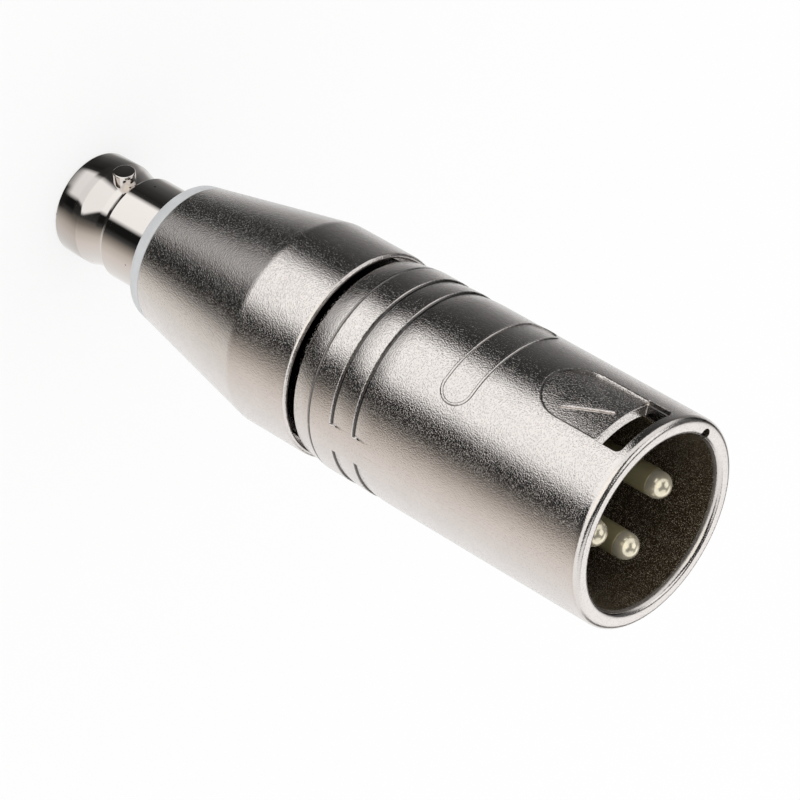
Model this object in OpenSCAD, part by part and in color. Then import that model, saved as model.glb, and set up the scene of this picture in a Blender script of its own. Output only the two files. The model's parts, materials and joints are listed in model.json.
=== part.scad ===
// Adapter from a three-pin male audio connector to a bayonet coaxial jack.
// It stands on the jack's front face, with z = 0 there and +Z along the axis to the pin end.
// The latch window faces -Y. All sizes are in millimetres.

/* [Stack along the axis] */
// Length of the jack in front of the insulating washer
jack_reach = 11.25; // [10.8:0.05:13]
// Thickness of the insulating washer between jack and cover
washer_t = 1.3; // [1:0.05:2]
// Height of the cover's cone
cone_h = 13.85; // [13:0.05:18]
// Height of the cover's straight skirt
skirt_h = 6.8; // [6.4:0.1:9]
// Open gap between the skirt's rim and the shell's shoulder
cover_gap = 0.8; // [0.5:0.05:1.2]
// Length of the shell from that shoulder to its rim
shell_h = 31.7; // [30.5:0.1:36]

/* [Shell] */
// Outer diameter of the shell and of the cover's skirt
shell_d = 19; // [18.4:0.1:20]
// Wall of the shell round the mouth
mouth_wall = 1.6; // [1.3:0.05:1.8]
// Depth of the mouth, from the rim to the face of the contact insert
mouth_depth = 17.4; // [15:0.1:18]
// Radius of the rim's outer edge
rim_round = 0.6; // [0.4:0.05:0.7]
// Radius of the rim's inner edge
mouth_round = 0.5; // [0.3:0.05:0.6]
// Height of the taper behind the grip
taper_h = 2.1; // [1.5:0.1:2.4]
// Fall of the taper in radius
taper_drop = 0.3; // [0.2:0.05:0.5]
// Step in radius from the shell down to the tail that the cover screws on
tail_step = 1.05; // [0.9:0.05:1.2]
// Wall of the tail
tail_wall = 1.05; // [0.9:0.05:1.2]
// Length of the tail
tail_h = 6.6; // [6:0.1:7]
// Chamfer of the edges that are only broken
edge_break = 0.1; // [0.05:0.01:0.15]
// Radius of the index notch in the rim
notch_r = 0.55; // [0.3:0.05:0.6]
// Depth by which the notch's circle opens into the mouth
notch_open = 0.2; // [0.05:0.01:0.25]
// Length of the index notch along the mouth
notch_h = 2.5; // [1:0.1:5]
// Angle of the index notch from the latch window
notch_deg = -47.4; // [-60:0.1:-40]

/* [Latch window] */
// Width of the window and of the recess behind it
window_w = 6.5; // [5.5:0.1:7]
// Length of the window along the axis
window_h = 2.45; // [2:0.05:3]
// Distance from the rim to the window
window_setback = 1.15; // [1:0.05:1.5]
// Radius of the window's front corners
window_corner = 0.5; // [0.3:0.05:0.8]
// Length of the recess behind the window
recess_h = 7.65; // [7:0.05:9]
// Depth of the recess
recess_depth = 0.3; // [0.2:0.05:0.4]
// Wall of the tongue at the back edge of the window
tongue_wall = 0.95; // [0.8:0.05:1.1]
// Length of the pocket that thins the tongue from inside
pocket_h = 2.5; // [1.5:0.1:4]
// Width of the raised arrow mark in the recess
arrow_w = 4.4; // [3.5:0.1:4.8]
// Length of the arrow mark
arrow_h = 4; // [3:0.05:4.2]
// Distance from the window to the arrow's point
arrow_setback = 0.7; // [0.6:0.05:1.5]
// Height of the arrow above the floor of the recess
arrow_rise = 0.13; // [0.1:0.01:0.15]

/* [Label frame] */
// Length of the raised frame round the shell
frame_w = 13.5; // [11:0.1:15]
// Height of the frame along the axis
frame_h = 3.15; // [2.6:0.05:3.6]
// Width of the frame's line
frame_line = 0.3; // [0.2:0.05:0.5]
// Height of the line above the shell
frame_rise = 0.12; // [0.08:0.01:0.2]
// Distance from the rim to the middle of the frame
frame_setback = 16.75; // [15:0.05:18]

/* [Grip] */
// Number of grip steps
grip_rows = 2; // [1:1:3]
// Distance from the rim to the first step
grip_setback = 24.7; // [23.5:0.1:25]
// Distance from one step to the next
grip_pitch = 2.5; // [2.2:0.1:2.6]
// Length of the ramp in front of each step
grip_ramp = 2.1; // [1.5:0.1:2.2]
// Depth of each step
grip_depth = 0.18; // [0.1:0.02:0.3]
// Plain angle each side of the parting lines, where the grip stops
grip_stop_deg = 8.2; // [5:0.1:15]

/* [Pins and insert] */
// Diameter of the pins
pin_d = 2.4; // [2.2:0.05:2.6]
// Diameter of the circle that the pins stand on
pin_circle_d = 7.92; // [7.6:0.02:8.2]
// Distance from the rim down to the pin tips
pin_recess = 2; // [1.5:0.1:4]
// Distance from a pin's tip to the ring groove behind its dome
pin_groove_setback = 2.5; // [2:0.1:3]
// Depth and width of that groove
pin_groove = 0.1; // [0.05:0.01:0.2]
// Diameter of the collar that holds a pin in the insert
pin_collar_d = 3.2; // [2.9:0.05:3.4]
// Length of that collar
pin_collar_h = 1.5; // [1:0.1:2]
// Diameter of a pin's solder tail
pin_tail_d = 1.2; // [0.9:0.05:1.4]
// Length of the insert
insert_h = 8.2; // [7:0.1:8.6]
// Length of the insert's front flange
insert_flange_h = 2.2; // [1.6:0.1:3]
// Height of the ring moulded round each pin
boss_h = 0.4; // [0.2:0.05:0.8]
// Wall of that ring
boss_wall = 0.6; // [0.4:0.05:0.8]
// Thickness of the retaining ring behind the insert
snap_t = 0.8; // [0.6:0.05:1]
// Depth of the groove that the retaining ring snaps into
snap_groove = 0.45; // [0.3:0.05:0.6]
// Radial width of the retaining ring
snap_w = 1.15; // [0.9:0.05:1.3]
// Width of the strip that earths the first pin to the shell
clip_w = 2.4; // [2:0.1:2.8]
// Thickness of that strip
clip_t = 0.3; // [0.2:0.05:0.4]
// Length of its leg along the shell
clip_leg_h = 3.2; // [2.4:0.1:3.4]

/* [Board and transformer] */
// Free height between the insert and the board
board_drop = 3.5; // [3.5:0.1:4.5]
// Thickness of the circuit board
board_t = 1.6; // [1:0.1:1.8]
// Gap between the board's edge and the shell
board_edge_gap = 0.8; // [0.6:0.05:1]
// Length by which leads and pins stand out of the board
solder_proud = 0.6; // [0.4:0.05:0.8]
// Outer diameter of the ring core
core_d = 7.4; // [7:0.1:7.8]
// Width and height of the core's section
core_section = 1.8; // [1.5:0.05:1.85]
// Diameter of the winding wire
wire_d = 0.26; // [0.2:0.02:0.3]
// Turns in each winding
winding_turns = 7; // [3:1:8]
// Thickness of the base that carries the core
base_h = 1.8; // [1.2:0.1:2]
// Length of the chip parts on the board
chip_l = 2; // [1.6:0.1:2.2]
// Width of the chip parts
chip_w = 1.25; // [0.8:0.05:1.4]
// Height of the chip parts
chip_h = 0.6; // [0.4:0.05:0.8]
// Distance of the chip parts from the axis, across the board
chip_across = 1.9; // [1.6:0.1:2]
// Distance of the chip parts from the axis, towards the latch
chip_forward = 2.6; // [2.2:0.1:2.8]
// Wall of the insulating sleeve
sleeve_t = 0.3; // [0.2:0.05:0.4]
// Diameter of the leads to the jack
lead_d = 0.7; // [0.5:0.05:0.8]
// Distance of the leads from the board's edge
lead_inset = 0.75; // [0.6:0.05:0.9]

/* [Cover] */
// Outer diameter of the cover's small end
cover_end_d = 13.4; // [13:0.1:15]
// Thickness of the end wall that the jack is clamped to
cover_floor = 2.2; // [1.8:0.1:3]
// Wall of the skirt at its rim
lip_wall = 0.4; // [0.3:0.05:0.5]
// Depth of the counterbore inside the skirt's rim
lip_h = 1.6; // [1:0.1:2]
// Radius of the skirt's outer edge
lip_round = 0.25; // [0.15:0.05:0.4]

/* [Jack] */
// Outer diameter of the jack
jack_d = 9.66; // [9.4:0.02:9.8]
// Wall of the jack round its mouth
jack_wall = 0.77; // [0.7:0.01:0.9]
// Depth of the jack's mouth
jack_bore_h = 8.4; // [7.6:0.1:9]
// Length of the jack's front ring
ring_h = 2.7; // [2.2:0.05:2.9]
// Length of the tapered relief behind the front ring
relief_h = 3.3; // [3:0.05:3.8]
// Depth of the relief at its shoulder
relief_drop = 0.43; // [0.2:0.01:0.45]
// Radius of the jack's outer front edge
jack_round = 0.25; // [0.1:0.05:0.4]
// Chamfer of the jack's mouth
jack_chamfer = 0.2; // [0.1:0.05:0.3]
// Diameter of the bayonet lugs
lug_d = 2; // [1.8:0.05:2.1]
// Diameter over the two lugs
lug_span = 11; // [10.8:0.05:11.2]
// Chamfer of the lugs' ends
lug_chamfer = 0.2; // [0.1:0.05:0.3]
// Distance from the front face to the middle of the lugs
lug_setback = 4.33; // [4.2:0.01:4.6]
// Diameter of the threaded stem behind the neck
stem_d = 8; // [7.6:0.1:8.4]
// Length of stem left past the nut
stem_proud = 0.65; // [0.3:0.05:1]
// Diameter of the white insulator round the centre contact
dielectric_d = 4.7; // [4.4:0.05:4.9]
// Distance from the front face to the insulator
dielectric_recess = 0.9; // [0.5:0.05:1.5]
// Thickness of the insulator's collar
dielectric_collar_h = 1.4; // [1:0.1:2]
// Diameter of the bead behind the insulator
bead_d = 5.8; // [5.4:0.1:6.2]
// Length of that bead
bead_h = 2; // [1.5:0.1:3]
// Diameter of the centre contact
contact_d = 2.1; // [1.9:0.05:2.3]
// Diameter of the contact's socket
socket_d = 1.36; // [1.3:0.02:1.4]
// Depth of the contact's socket
socket_h = 5; // [4:0.1:6]
// Width of the slots between the contact's tines
tine_slot = 0.25; // [0.15:0.05:0.35]
// Distance from the front face to the contact
contact_recess = 1.4; // [1:0.1:2]
// Diameter of the contact's solder stem
contact_stem_d = 1; // [0.8:0.05:1.2]
// Length of the solder stem behind the jack
contact_stem_proud = 2.4; // [1.5:0.1:3]

/* [Clamping stack] */
// Wall of the insulating bush
bush_wall = 0.9; // [0.7:0.05:1]
// Width of the bush's flange
bush_flange_w = 1.15; // [1:0.05:1.2]
// Thickness of that flange
bush_flange_h = 1; // [0.8:0.1:1.5]
// Thickness of the solder tag
tag_t = 0.4; // [0.3:0.05:0.5]
// Radial width of the solder tag
tag_w = 1.55; // [1.3:0.05:1.6]
// Width of the tag's raised tab
tag_tab_w = 2; // [1.6:0.1:2.2]
// Height of the tag's raised tab
tag_tab_h = 7.2; // [6.5:0.1:8]
// Thickness of the toothed lock washer
lock_t = 0.7; // [0.5:0.05:1]
// Radial width of the lock washer
lock_w = 1.15; // [1:0.05:1.2]
// Number of teeth on the lock washer
lock_teeth = 10; // [6:1:12]
// Height of the nut
nut_h = 2.5; // [2:0.1:3]
// Wall of the nut at its flats
nut_wall = 0.7; // [0.6:0.05:0.9]

/* [Fits] */
// Clearance between pieces that fit together
fit_gap = 0.05; // [0.03:0.01:0.08]
// Clearance round the cover's screw joint
thread_gap = 0.1; // [0.05:0.01:0.15]
// Clearance round loose inner pieces
loose_gap = 0.15; // [0.1:0.01:0.2]

/* [Hidden] */

// Round forms are true circles in the finished solids
$fn = 64;
// Overshoot of cutting shapes
cut = 0.2;
// Overlap where two shapes of one piece run into each other
lap = 0.03;

// Heights of the faces where pieces meet
z_washer = jack_reach;
z_cover = z_washer + washer_t;
z_crease = z_cover + cone_h;
z_skirt = z_crease + skirt_h;
z_shoulder = z_skirt + cover_gap;
z_rim = z_shoulder + shell_h;
z_tail = z_shoulder - tail_h;
z_insert_face = z_rim - mouth_depth;
z_insert_seat = z_insert_face - insert_flange_h;
z_insert_back = z_insert_face - insert_h;
z_board = z_insert_back - board_drop;
z_base = z_board - board_t;
z_floor = z_cover + cover_floor;
z_tag = z_floor + bush_flange_h;
z_lock = z_tag + tag_t;
z_nut = z_lock + lock_t;
z_stem = z_nut + nut_h + stem_proud;
z_bead = z_stem - bead_h;
z_contact_end = z_stem + contact_stem_proud;

// Radii of the shell and of what it holds
shell_r = shell_d / 2;
mouth_r = shell_r - mouth_wall;
taper_slope = taper_drop / taper_h;
notch_circle_r = mouth_r + notch_r - notch_open;
tail_r = shell_r - tail_step;
tail_bore_r = tail_r - tail_wall;
snap_r = tail_bore_r + snap_groove;
snap_in_r = snap_r - fit_gap - snap_w;
pin_r = pin_d / 2;
pin_circle_r = pin_circle_d / 2;
board_r = tail_bore_r - board_edge_gap;
lead_r = lead_d / 2;
lead_circle_r = board_r - lead_inset;
sleeve_in_r = tail_bore_r - fit_gap - sleeve_t;

// Radii of the cover and of the clamping stack
cover_end_r = cover_end_d / 2;
cone_slope = (shell_r - cover_end_r) / cone_h;
washer_r = cover_end_r - washer_t * cone_slope;
jack_r = jack_d / 2;
jack_bore_r = jack_r - jack_wall;
stem_r = stem_d / 2;
stem_hole_r = stem_r + fit_gap;
bush_r = stem_hole_r + bush_wall;
bush_flange_r = bush_r + bush_flange_w;
nut_flat_r = stem_hole_r + nut_wall;
tab_r = bush_flange_r - fit_gap;

// Places of the latch features, from the rim down
z_window = z_rim - window_setback - window_h;
z_recess = z_window - recess_h;
z_arrow = z_window - arrow_setback;
z_frame = z_rim - frame_setback;
grip_span_deg = 180 - 2 * grip_stop_deg;

// Ring core, with round turns just clear of its square section
core_mid_r = (core_d - core_section) / 2;
turn_r = core_section * sqrt(0.5) + wire_d / 2 + fit_gap;
turn_reach = turn_r + wire_d / 2;
z_core = z_base - base_h - fit_gap - turn_reach;
post_r = core_mid_r - turn_reach - loose_gap * 2;
base_r = pin_circle_r - pin_tail_d / 2 - loose_gap * 3;
turn_step_deg = 20;
nut_sides = 6;

// Angles about the axis of the latch, the pins and the leads
latch_deg = -90;
pin_1_deg = latch_deg + 90;
pin_2_deg = latch_deg - 90;
pin_3_deg = latch_deg + 180;
signal_deg = latch_deg;
earth_deg = latch_deg - 45;

module tube(r_out, r_in, z0, z1) {
    translate([0, 0, z0])
        difference() {
            cylinder(r = r_out, h = z1 - z0);
            translate([0, 0, -cut])
                cylinder(r = r_in, h = z1 - z0 + 2 * cut);
        }
}

module rod(r, z0, z1) {
    translate([0, 0, z0])
        cylinder(r = r, h = z1 - z0);
}

// Takes the sharp corner at (x, z) off a profile and leaves a radius.
// sx and sz point from the corner into the solid.
module corner_cut(x, z, r, sx, sz) {
    difference() {
        translate([min(x - sx * cut, x + sx * r), min(z - sz * cut, z + sz * r)])
            square(r + cut);
        translate([x + sx * r, z + sz * r])
            circle(r);
    }
}

// Carries a flat outline in X and Z from the axis out towards -Y
module towards_latch(reach) {
    rotate([90, 0, 0])
        linear_extrude(reach)
            children();
}

module on_circle(r, deg) {
    rotate([0, 0, deg])
        translate([r, 0, 0])
            children();
}

// A round wire through a list of points, with a ball a little thicker than the wire at each bend
module wire(points, r) {
    for (i = [0 : len(points) - 2]) {
        step = points[i + 1] - points[i];
        run = norm(step);
        translate(points[i])
            rotate([0, acos(step.z / run), atan2(step.y, step.x)])
                cylinder(r = r, h = run);
    }
    for (i = [1 : 1 : len(points) - 2])
        translate(points[i])
            sphere(r = r + lap);
}

module shell_profile() {
    difference() {
        polygon([
            [tail_bore_r, z_tail],
            [tail_r, z_tail],
            [tail_r, z_shoulder],
            [shell_r - taper_drop - edge_break, z_shoulder],
            [shell_r - taper_drop + edge_break * taper_slope, z_shoulder + edge_break],
            [shell_r, z_shoulder + taper_h],
            [shell_r, z_rim],
            [mouth_r, z_rim],
            [mouth_r, z_insert_seat],
            [tail_bore_r, z_insert_seat]
        ]);
        corner_cut(shell_r, z_rim, rim_round, -1, -1);
        corner_cut(mouth_r, z_rim, mouth_round, 1, -1);
        translate([tail_bore_r - cut, z_insert_back - snap_t])
            square([snap_groove + cut, snap_t]);
    }
}

module window_outline() {
    corner_z = z_window + window_h - window_corner;
    translate([-window_w / 2, z_window])
        square([window_w, window_h - window_corner]);
    translate([-window_w / 2 + window_corner, z_window])
        square([window_w - 2 * window_corner, window_h]);
    for (side = [-1, 1])
        translate([side * (window_w / 2 - window_corner), corner_z])
            circle(window_corner);
}

module recess_outline() {
    round_z = z_recess + window_w / 2;
    translate([-window_w / 2, round_z])
        square([window_w, z_window + cut - round_z]);
    translate([0, round_z])
        circle(window_w / 2);
}

module latch_recess() {
    difference() {
        towards_latch(shell_r + cut)
            recess_outline();
        rod(shell_r - recess_depth, z_recess - cut, z_window + 2 * cut);
    }
}

// Thins the tongue from inside, where the mating latch hooks behind it
module latch_pocket() {
    intersection() {
        rod(shell_r - recess_depth - tongue_wall, z_window - pocket_h, z_window + window_h / 2);
        towards_latch(shell_r)
            translate([-window_w / 2, z_window - pocket_h - cut])
                square([window_w, pocket_h + window_h]);
    }
}

module arrow_mark() {
    intersection() {
        towards_latch(shell_r + cut)
            polygon([
                [0, z_arrow],
                [-arrow_w / 2, z_arrow - arrow_h],
                [arrow_w / 2, z_arrow - arrow_h]
            ]);
        tube(
            shell_r - recess_depth + arrow_rise,
            shell_r - recess_depth - cut,
            z_recess,
            z_window
        );
    }
}

// Sawtooth steps: each ramp deepens away from the mouth and ends at a wall that faces the mouth
module grip_steps() {
    slope_h = grip_ramp * (grip_depth + cut) / grip_depth;
    for (side = [latch_deg, latch_deg + 180], row = [0 : grip_rows - 1]) {
        z_step = z_rim - grip_setback - row * grip_pitch;
        rotate([0, 0, side - grip_span_deg / 2])
            rotate_extrude(angle = grip_span_deg)
                polygon([
                    [shell_r - grip_depth, z_step],
                    [shell_r + cut, z_step],
                    [shell_r + cut, z_step + slope_h]
                ]);
    }
}

// Raised line with round ends, wrapped round the shell and left bare inside.
// The ends are a little wider than the straight lines, which run on into them.
module label_frame() {
    end_r = frame_h / 2;
    end_deg = (frame_w / 2 - end_r) / shell_r * 180 / PI;
    line_deg = end_deg + lap / shell_r * 180 / PI;
    reach = 2 * shell_r;
    corners = [
        for (deg = [latch_deg - line_deg, latch_deg + line_deg])
            reach * [cos(deg), sin(deg)]
    ];
    intersection() {
        tube(shell_r + frame_rise, shell_r - cut, z_frame - frame_h, z_frame + frame_h);
        union() {
            for (z_line = [z_frame - end_r, z_frame + end_r - frame_line])
                translate([0, 0, z_line])
                    linear_extrude(frame_line)
                        polygon([[0, 0], corners[0], corners[1]]);
            for (side = [-1, 1])
                rotate([0, 0, side * end_deg])
                    towards_latch(reach)
                        translate([0, z_frame])
                            difference() {
                                circle(end_r + lap);
                                circle(end_r - frame_line - lap);
                                translate([side > 0 ? -frame_h : 0, -frame_h / 2 - cut])
                                    square([frame_h, frame_h + 2 * cut]);
                            }
        }
    }
}

module xlr_shell() {
    color([0.66, 0.64, 0.62]) {
        difference() {
            rotate_extrude()
                shell_profile();
            towards_latch(shell_r + cut)
                window_outline();
            latch_recess();
            latch_pocket();
            grip_steps();
            on_circle(notch_circle_r, latch_deg + notch_deg)
                rod(notch_r, z_rim - notch_h, z_rim + cut);
        }
        arrow_mark();
        label_frame();
    }
}

module contact_insert() {
    color([0.09, 0.09, 0.09])
        difference() {
            union() {
                rod(mouth_r - fit_gap, z_insert_seat, z_insert_face);
                rod(tail_bore_r - fit_gap, z_insert_back, z_insert_seat);
                for (deg = [pin_1_deg, pin_2_deg, pin_3_deg])
                    on_circle(pin_circle_r, deg)
                        rod(pin_r + boss_wall, z_insert_seat, z_insert_face + boss_h);
            }
            for (deg = [pin_1_deg, pin_2_deg, pin_3_deg])
                on_circle(pin_circle_r, deg) {
                    rod(pin_r + fit_gap, z_insert_back - cut, z_insert_face + boss_h + cut);
                    rod(pin_collar_d / 2 + fit_gap, z_insert_back - cut, z_insert_back + pin_collar_h);
                }
        }
}

// Turned pin: domed tip with a fine groove behind it, a collar in the insert and a solder tail
module pin(deg) {
    z_tip = z_rim - pin_recess;
    z_groove = z_tip - pin_groove_setback;
    color([0.83, 0.81, 0.74])
        on_circle(pin_circle_r, deg)
            difference() {
                union() {
                    translate([0, 0, z_tip - pin_r])
                        sphere(r = pin_r);
                    rod(pin_r, z_insert_back, z_tip - pin_r);
                    rod(pin_collar_d / 2, z_insert_back, z_insert_back + pin_collar_h);
                    rod(pin_tail_d / 2, z_base - solder_proud, z_insert_back);
                }
                tube(pin_r + cut, pin_r - pin_groove, z_groove - pin_groove, z_groove);
            }
}

module pin_1() {
    pin(pin_1_deg);
}

module pin_2() {
    pin(pin_2_deg);
}

module pin_3() {
    pin(pin_3_deg);
}

module retaining_ring() {
    z_low = z_insert_back - snap_t;
    color([0.55, 0.56, 0.58])
        difference() {
            tube(snap_r - fit_gap, snap_in_r, z_low, z_insert_back);
            translate([0, -clip_w / 2 - loose_gap, z_low - cut])
                cube([snap_r + cut, clip_w + 2 * loose_gap, snap_t + 2 * cut]);
        }
}

// Spring strip from the first pin to the inside of the shell
module earth_clip() {
    leg_x = sqrt(pow(tail_bore_r - fit_gap, 2) - pow(clip_w / 2, 2));
    strip_x = pin_circle_r - clip_w / 2;
    color([0.78, 0.62, 0.32])
        rotate([0, 0, pin_1_deg])
            difference() {
                union() {
                    translate([strip_x, -clip_w / 2, z_insert_back - clip_t])
                        cube([leg_x - strip_x, clip_w, clip_t]);
                    translate([leg_x - clip_t, -clip_w / 2, z_insert_back - clip_leg_h])
                        cube([clip_t, clip_w, clip_leg_h]);
                }
                translate([pin_circle_r, 0, 0])
                    rod(pin_tail_d / 2 + fit_gap, z_insert_back - clip_t - cut, z_insert_back + cut);
            }
}

module circuit_board() {
    color([0.1, 0.36, 0.2])
        difference() {
            rod(board_r, z_base, z_board);
            for (deg = [pin_1_deg, pin_2_deg, pin_3_deg])
                on_circle(pin_circle_r, deg)
                    rod(pin_tail_d / 2 + fit_gap, z_base - cut, z_board + cut);
            for (deg = [signal_deg, earth_deg])
                on_circle(lead_circle_r, deg)
                    rod(lead_r + fit_gap, z_base - cut, z_board + cut);
        }
}

module chip_parts() {
    color([0.2, 0.2, 0.22])
        for (side = [-1, 1])
            translate([side * chip_across - chip_l / 2, -chip_forward - chip_w / 2, z_board])
                cube([chip_l, chip_w, chip_h]);
}

module transformer_base() {
    color([0.12, 0.12, 0.13]) {
        rod(base_r, z_base - base_h, z_base);
        rod(post_r, z_core - turn_reach, z_base);
    }
}

module transformer_core() {
    color([0.3, 0.3, 0.31])
        tube(
            core_d / 2,
            core_d / 2 - core_section,
            z_core - core_section / 2,
            z_core + core_section / 2
        );
}

module winding(deg) {
    first_deg = deg - turn_step_deg * (winding_turns - 1) / 2;
    color([0.72, 0.38, 0.2])
        for (i = [0 : winding_turns - 1])
            on_circle(core_mid_r, first_deg + i * turn_step_deg)
                translate([0, 0, z_core])
                    rotate([90, 0, 0])
                        rotate_extrude()
                            translate([turn_r, 0])
                                circle(wire_d / 2);
}

module primary_winding() {
    winding(pin_3_deg);
}

module secondary_winding() {
    winding(signal_deg);
}

module insulating_sleeve() {
    color([0.85, 0.8, 0.62])
        tube(tail_bore_r - fit_gap, sleeve_in_r, z_tail, z_base - solder_proud);
}

module cover_profile() {
    floor_r = bush_flange_r + loose_gap;
    difference() {
        polygon([
            [bush_r + fit_gap, z_cover],
            [cover_end_r, z_cover],
            [shell_r, z_crease],
            [shell_r, z_skirt],
            [shell_r - lip_wall, z_skirt],
            [shell_r - lip_wall, z_skirt - lip_h],
            [tail_r + thread_gap, z_skirt - lip_h],
            [tail_r + thread_gap, z_tail],
            [sleeve_in_r, z_tail],
            [floor_r, z_floor],
            [bush_r + fit_gap, z_floor]
        ]);
        corner_cut(shell_r, z_skirt, lip_round, -1, -1);
    }
}

module rear_cover() {
    color([0.66, 0.64, 0.62])
        rotate_extrude()
            cover_profile();
}

// Continues the cover's cone down to the neck of the jack
module insulating_washer() {
    color([0.86, 0.87, 0.88])
        rotate_extrude()
            polygon([
                [stem_hole_r, z_washer],
                [washer_r - edge_break, z_washer],
                [washer_r + edge_break * cone_slope, z_washer + edge_break],
                [cover_end_r - edge_break * cone_slope, z_cover - edge_break],
                [cover_end_r - edge_break, z_cover],
                [stem_hole_r, z_cover]
            ]);
}

module insulating_bush() {
    color([0.9, 0.9, 0.9]) {
        tube(bush_r, stem_hole_r, z_cover, z_floor);
        tube(bush_flange_r, stem_hole_r, z_floor, z_floor + bush_flange_h);
    }
}

module jack_profile() {
    bead_r = bead_d / 2 + fit_gap;
    inner_r = dielectric_d / 2 + fit_gap;
    difference() {
        polygon([
            [jack_bore_r + jack_chamfer, 0],
            [jack_r, 0],
            [jack_r, ring_h],
            [jack_r - relief_drop, ring_h + relief_h],
            [jack_r - edge_break, ring_h + relief_h],
            [jack_r, ring_h + relief_h + edge_break],
            [jack_r, z_washer],
            [stem_r, z_washer],
            [stem_r, z_stem],
            [bead_r, z_stem],
            [bead_r, z_bead],
            [inner_r, z_bead],
            [inner_r, jack_bore_h],
            [jack_bore_r, jack_bore_h],
            [jack_bore_r, jack_chamfer]
        ]);
        corner_cut(jack_r, 0, jack_round, -1, 1);
    }
}

module bayonet_lug() {
    root_r = jack_bore_r + loose_gap;
    translate([0, 0, lug_setback])
        rotate([90, 0, 0])
            rotate_extrude()
                polygon([
                    [0, root_r],
                    [lug_d / 2, root_r],
                    [lug_d / 2, lug_span / 2 - lug_chamfer],
                    [lug_d / 2 - lug_chamfer, lug_span / 2],
                    [0, lug_span / 2]
                ]);
}

module bnc_body() {
    color([0.78, 0.76, 0.73]) {
        rotate_extrude()
            jack_profile();
        for (deg = [0, 180])
            rotate([0, 0, deg])
                bayonet_lug();
    }
}

module bnc_dielectric() {
    z_collar = jack_bore_h - dielectric_collar_h;
    color([0.95, 0.95, 0.94])
        rotate_extrude()
            polygon([
                [contact_d / 2 + fit_gap, dielectric_recess],
                [dielectric_d / 2, dielectric_recess],
                [dielectric_d / 2, z_collar],
                [jack_bore_r - fit_gap, z_collar],
                [jack_bore_r - fit_gap, jack_bore_h],
                [dielectric_d / 2, jack_bore_h],
                [dielectric_d / 2, z_bead],
                [contact_d / 2 + fit_gap, z_bead]
            ]);
}

module bnc_rear_bead() {
    color([0.93, 0.93, 0.9])
        tube(bead_d / 2, contact_stem_d / 2 + fit_gap, z_bead, z_stem);
}

module bnc_centre_contact() {
    color([0.83, 0.66, 0.3])
        difference() {
            union() {
                rod(contact_d / 2, contact_recess, z_bead);
                rod(contact_stem_d / 2, z_bead, z_contact_end);
            }
            rod(socket_d / 2, contact_recess - cut, contact_recess + socket_h);
            for (deg = [45, 135])
                rotate([0, 0, deg])
                    translate([-contact_d, -tine_slot / 2, contact_recess - cut])
                        cube([2 * contact_d, tine_slot, socket_h]);
        }
}

// Flat ring with a tab bent up beside the nut
module solder_tag() {
    color([0.76, 0.77, 0.78])
        rotate([0, 0, earth_deg]) {
            tube(stem_hole_r + tag_w, stem_hole_r, z_tag, z_tag + tag_t);
            translate([stem_hole_r + tag_w / 2, -tag_tab_w / 2, z_tag])
                cube([tab_r - stem_hole_r - tag_w / 2, tag_tab_w, tag_t]);
            translate([tab_r - tag_t, -tag_tab_w / 2, z_tag])
                cube([tag_t, tag_tab_w, tag_tab_h]);
        }
}

module lock_washer() {
    ring_r = stem_hole_r + lock_w;
    tooth_w = PI * stem_hole_r / lock_teeth;
    color([0.6, 0.61, 0.63]) {
        tube(ring_r, ring_r - lock_w / 2, z_lock, z_lock + lock_t);
        intersection() {
            tube(ring_r - lock_w / 4, stem_hole_r, z_lock, z_lock + lock_t);
            for (i = [0 : lock_teeth - 1])
                rotate([0, 0, i * 360 / lock_teeth])
                    translate([0, -tooth_w / 2, z_lock])
                        cube([ring_r, tooth_w, lock_t]);
        }
    }
}

// Thin hexagon nut, with a flat towards the tab of the solder tag
module lock_nut() {
    color([0.76, 0.74, 0.7])
        translate([0, 0, z_nut])
            rotate([0, 0, 180 / nut_sides])
                difference() {
                    cylinder(r = nut_flat_r / cos(180 / nut_sides), h = nut_h, $fn = nut_sides);
                    rod(stem_hole_r, -cut, nut_h + cut);
                }
}

module signal_lead() {
    z_low = z_contact_end + lead_d;
    z_high = z_tail + 2 * lead_d;
    color([0.8, 0.16, 0.12])
        rotate([0, 0, signal_deg])
            wire([
                [0, 0, z_contact_end],
                [0, 0, z_low],
                [lead_circle_r, 0, z_high],
                [lead_circle_r, 0, z_board + solder_proud]
            ], lead_r);
}

module earth_lead() {
    tab_x = tab_r - tag_t - fit_gap - lead_r;
    z_bend = z_tag + tag_tab_h + lead_d;
    color([0.12, 0.12, 0.13])
        rotate([0, 0, earth_deg])
            wire([
                [tab_x, 0, z_stem + lead_d],
                [tab_x, 0, z_bend],
                [lead_circle_r, 0, z_bend + lead_circle_r - tab_x],
                [lead_circle_r, 0, z_board + solder_proud]
            ], lead_r);
}

xlr_shell();
contact_insert();
pin_1();
pin_2();
pin_3();
retaining_ring();
earth_clip();
circuit_board();
chip_parts();
transformer_base();
transformer_core();
primary_winding();
secondary_winding();
insulating_sleeve();
rear_cover();
insulating_washer();
insulating_bush();
bnc_body();
bnc_dielectric();
bnc_rear_bead();
bnc_centre_contact();
solder_tag();
lock_washer();
lock_nut();
signal_lead();
earth_lead();
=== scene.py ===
# Looks of a straight adapter: pin connector in a satin shell at one end, bayonet jack at the other.
import functools
import json
import math

import bmesh
import bpy
from bpy.props import FloatProperty, FloatVectorProperty, PointerProperty
from mathutils import Matrix, Vector


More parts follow.
